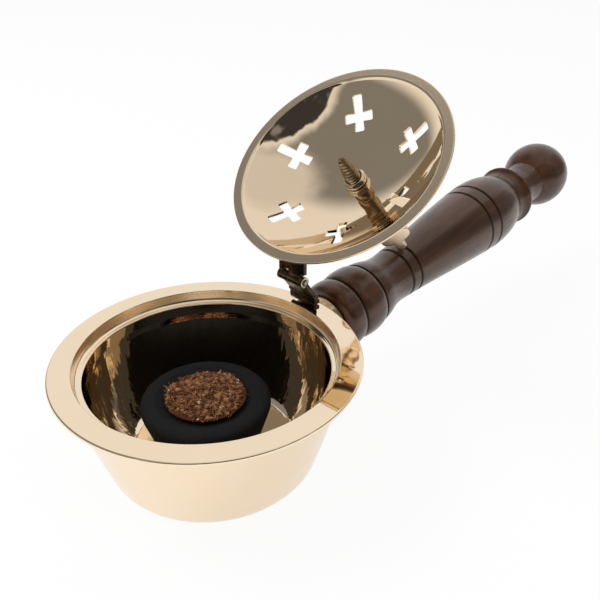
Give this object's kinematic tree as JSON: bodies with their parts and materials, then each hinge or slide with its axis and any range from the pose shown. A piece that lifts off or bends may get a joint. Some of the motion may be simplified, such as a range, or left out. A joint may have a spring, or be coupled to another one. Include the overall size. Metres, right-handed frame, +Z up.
{
  "type": "hand censer",
  "caption": "Brass hand censer with a turned walnut handle, a hinged dome lid pierced with crosses and a budded cross finial, open, with charcoal and incense.",
  "frame": {"origin": "middle of the bowl's flat foot, on the surface that the censer stands on", "axes": "+X from the bowl along the handle, +Z up, +Y to the left when looking along the handle from the bowl; the hinge pin lies along Y"},
  "size_m": [0.2767, 0.1004, 0.1168],
  "materials": {
    "bowl_brass": "polished",
    "lid_brass": "polished",
    "fitting_brass": "satin",
    "finial_brass": "satin",
    "steel": "satin",
    "walnut": "satin",
    "charcoal": "matte",
    "incense": "matte"
  },
  "bodies": {
    "censer": {"bowl": "bowl_brass", "handle_socket": "fitting_brass", "handle_rod": "steel", "handle_grip": "walnut", "hinge_lower_leaf": "fitting_brass", "hinge_pin": "steel", "charcoal_tablet": "charcoal", "incense_heap": "incense"},
    "lid_assembly": {"lid": "lid_brass", "hinge_upper_leaf": "fitting_brass", "finial_cross": "finial_brass", "finial_stud": "fitting_brass", "finial_nut": "fitting_brass", "finial_washer": "fitting_brass"}
  },
  "joints": [
    {"name": "lid_hinge", "type": "hinge", "parent": "censer", "child": "lid_assembly", "pos_m": [0.0395, 0, 0.0548], "axis": [0, 1, 0], "range_deg": [-142.1, 0]}
  ]
}
